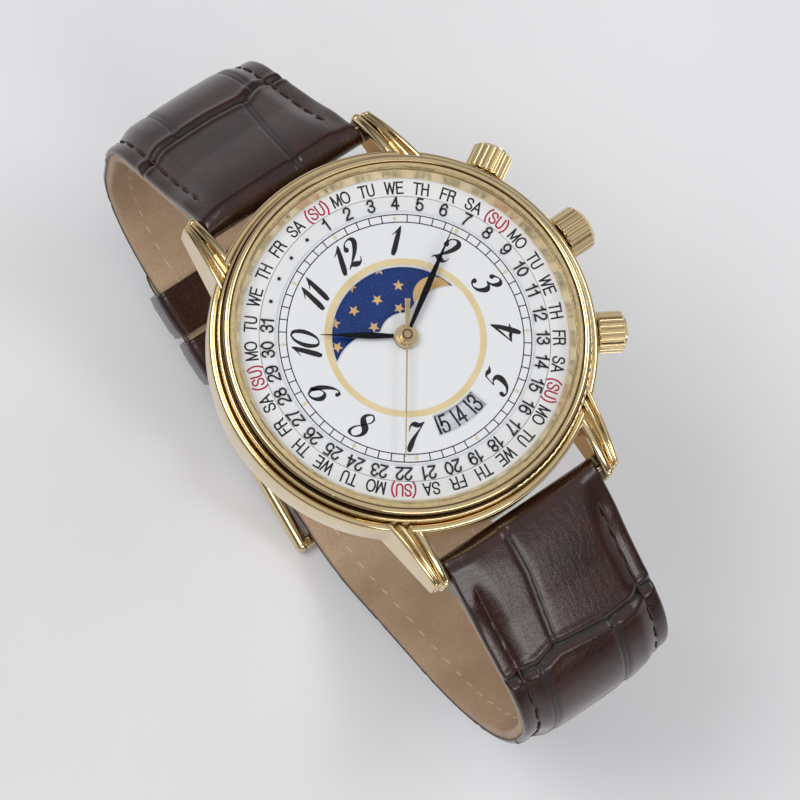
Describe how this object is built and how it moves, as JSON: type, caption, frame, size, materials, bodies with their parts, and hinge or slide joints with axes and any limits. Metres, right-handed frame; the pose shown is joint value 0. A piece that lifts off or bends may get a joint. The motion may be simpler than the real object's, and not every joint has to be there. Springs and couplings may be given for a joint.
{
  "type": "moon phase wristwatch",
  "caption": "Round gold-tone moon phase wristwatch with date window, outer weekday ring, three knurled controls and a buckled leather strap closed in a loop.",
  "frame": {"origin": "centre of the case back's outer face", "axes": "+Z out of the dial through the crystal, +X to 3 o'clock and the crown, +Y to 12 o'clock"},
  "size_m": [0.0397, 0.0728, 0.0542],
  "materials": {
    "gold_steel": "polished gold-tone coating on steel",
    "gold_satin": "satin champagne gold",
    "gold_bright": "polished gold",
    "steel": "satin steel",
    "brass": "plain brass",
    "copper": "enamelled copper wire",
    "glass": "clear mineral crystal",
    "gasket": "black rubber",
    "clear_gasket": "translucent plastic",
    "dial_white": "satin silver white",
    "disc_white": "matt white",
    "moon_blue": "royal blue",
    "hand_dark": "gloss grey black",
    "holder": "moulded plastic",
    "board": "printed circuit board",
    "leather": "dark brown crocodile grain",
    "lining": "beige calf lining"
  },
  "bodies": {
    "case": {"mid_case": "gold_steel", "bezel": "gold_steel", "crystal": "glass", "crystal_gasket": "clear_gasket", "rehaut": "gold_satin", "case_back": "gold_steel", "case_back_gasket": "gasket", "stem_tubes": "steel", "dial": "dial_white", "movement_ring": "holder", "main_plate": "steel", "calendar_plate": "brass", "movement_screws": "steel", "train_bridge": "brass", "battery": "steel", "battery_clip": "steel", "circuit_board": "board", "quartz_can": "steel", "coil": "copper", "stator": "steel", "date_jumper": "steel", "pusher_collar": "gold_steel", "pusher_spring": "steel", "strap_upper": "leather", "strap_upper_lining": "lining", "strap_lower": "leather", "strap_lower_lining": "lining", "fixed_keeper": "leather", "buckle_bar": "steel", "spring_bar_tubes": "steel", "bar_springs": "steel"},
    "weekday_ring": {"weekday_ring": "dial_white"},
    "ring_knob": {"ring_knob": "gold_steel", "ring_knob_pinion": "steel"},
    "seconds": {"second_hand": "gold_bright", "seconds_wheel": "steel"},
    "rotor": {"rotor": "steel"},
    "intermediate": {"intermediate_wheel": "brass"},
    "third": {"third_wheel": "brass"},
    "minutes": {"minute_hand": "hand_dark", "centre_wheel": "brass"},
    "minute_work": {"minute_wheel": "brass"},
    "hours": {"hour_hand": "hand_dark", "hour_wheel": "brass"},
    "date_driver": {"date_driving_wheel": "brass"},
    "date_disc": {"date_disc": "disc_white"},
    "moon_disc": {"moon_disc": "moon_blue"},
    "setting_fork": {"setting_fork": "steel"},
    "crown": {"crown": "gold_steel", "crown_gasket": "gasket", "winding_stem": "steel", "sliding_pinion": "steel"},
    "moon_button": {"moon_pusher": "gold_steel"},
    "moon_corrector": {"moon_corrector": "steel"},
    "sliding_keeper": {"sliding_keeper": "leather"},
    "buckle_frame": {"buckle_frame": "gold_steel"},
    "buckle_tang": {"buckle_tang": "gold_steel"},
    "upper_bar_pin": {"upper_bar_pin": "steel"},
    "lower_bar_pin": {"lower_bar_pin": "steel"}
  },
  "joints": [
    {"name": "weekday_ring_turn", "type": "hinge", "parent": "case", "child": "weekday_ring", "pos_m": [0, 0, 0.0062], "axis": [0, 0, 1], "continuous": true},
    {"name": "ring_knob_turn", "type": "hinge", "parent": "case", "child": "ring_knob", "pos_m": [0.01559, -0.009, 0.0039], "axis": [0.866, -0.5, 0], "continuous": true},
    {"name": "seconds_turn", "type": "hinge", "parent": "case", "child": "seconds", "pos_m": [0, 0, 0.005], "axis": [0, 0, 1], "continuous": true},
    {"name": "rotor_turn", "type": "hinge", "parent": "case", "child": "rotor", "pos_m": [-0.0024, 0.00486, 0.0025], "axis": [0, 0, 1], "continuous": true},
    {"name": "intermediate_turn", "type": "hinge", "parent": "case", "child": "intermediate", "pos_m": [-0.0017, 0.00294, 0.0025], "axis": [0, 0, 1], "continuous": true},
    {"name": "third_turn", "type": "hinge", "parent": "case", "child": "third", "pos_m": [0.0017, -0.00294, 0.0025], "axis": [0, 0, 1], "continuous": true},
    {"name": "minutes_turn", "type": "hinge", "parent": "case", "child": "minutes", "pos_m": [0, 0, 0.005], "axis": [0, 0, 1], "continuous": true},
    {"name": "minute_work_turn", "type": "hinge", "parent": "case", "child": "minute_work", "pos_m": [0.00216, 0, 0.005], "axis": [0, 0, 1], "continuous": true},
    {"name": "hours_turn", "type": "hinge", "parent": "case", "child": "hours", "pos_m": [0, 0, 0.005], "axis": [0, 0, 1], "continuous": true},
    {"name": "date_driver_turn", "type": "hinge", "parent": "case", "child": "date_driver", "pos_m": [-0.00487, -0.00177, 0.005], "axis": [0, 0, 1], "continuous": true},
    {"name": "date_disc_turn", "type": "hinge", "parent": "case", "child": "date_disc", "pos_m": [0, 0, 0.0057], "axis": [0, 0, 1], "continuous": true},
    {"name": "moon_disc_turn", "type": "hinge", "parent": "case", "child": "moon_disc", "pos_m": [0, 0, 0.00595], "axis": [0, 0, 1], "continuous": true},
    {"name": "crown_pull", "type": "slide", "parent": "case", "child": "setting_fork", "axis": [1, 0, 0], "range_m": [0, 0.0012]},
    {"name": "crown_turn", "type": "hinge", "parent": "setting_fork", "child": "crown", "pos_m": [0.018, 0, 0.0039], "axis": [1, 0, 0], "continuous": true},
    {"name": "moon_button_press", "type": "slide", "parent": "case", "child": "moon_button", "axis": [-0.866, -0.5, 0], "range_m": [0, 0.0004], "stiffness_N_per_m": 400, "deforming": ["pusher_spring"]},
    {"name": "moon_corrector_turn", "type": "hinge", "parent": "case", "child": "moon_corrector", "pos_m": [0.00776, 0.00862, 0.0059], "axis": [0, 0, 1], "range_deg": [-6.6, 0.1]},
    {"name": "sliding_keeper_slide", "type": "slide", "parent": "case", "child": "sliding_keeper", "axis": [0, 0.9744, 0.225], "range_m": [-0.0055, 0.0005]},
    {"name": "buckle_frame_turn", "type": "hinge", "parent": "case", "child": "buckle_frame", "pos_m": [0, 0.0056, -0.0392], "axis": [1, 0, 0], "range_deg": [0, 4]},
    {"name": "buckle_tang_turn", "type": "hinge", "parent": "buckle_frame", "child": "buckle_tang", "pos_m": [0, 0.0056, -0.0392], "axis": [1, 0, 0], "range_deg": [0, 8]},
    {"name": "upper_bar_pin_slide", "type": "slide", "parent": "case", "child": "upper_bar_pin", "axis": [-1, 0, 0], "range_m": [0, 0.001], "stiffness_N_per_m": 500, "deforming": ["bar_springs"]},
    {"name": "lower_bar_pin_slide", "type": "slide", "parent": "case", "child": "lower_bar_pin", "axis": [-1, 0, 0], "range_m": [0, 0.001], "stiffness_N_per_m": 500, "deforming": ["bar_springs"]}
  ],
  "couplings": [
    {"joint": "ring_knob_turn", "follows": "weekday_ring_turn", "ratio": -7.8333},
    {"joint": "rotor_turn", "follows": "seconds_turn", "ratio": 30},
    {"joint": "intermediate_turn", "follows": "seconds_turn", "ratio": -4},
    {"joint": "third_turn", "follows": "seconds_turn", "ratio": -0.13333},
    {"joint": "minutes_turn", "follows": "seconds_turn", "ratio": 0.016667},
    {"joint": "minute_work_turn", "follows": "seconds_turn", "ratio": -0.0055556},
    {"joint": "hours_turn", "follows": "seconds_turn", "ratio": 0.0013889},
    {"joint": "date_driver_turn", "follows": "seconds_turn", "ratio": -0.00069444},
    {"joint": "moon_corrector_turn", "follows": "moon_button_press", "rad_per_m": -279}
  ]
}
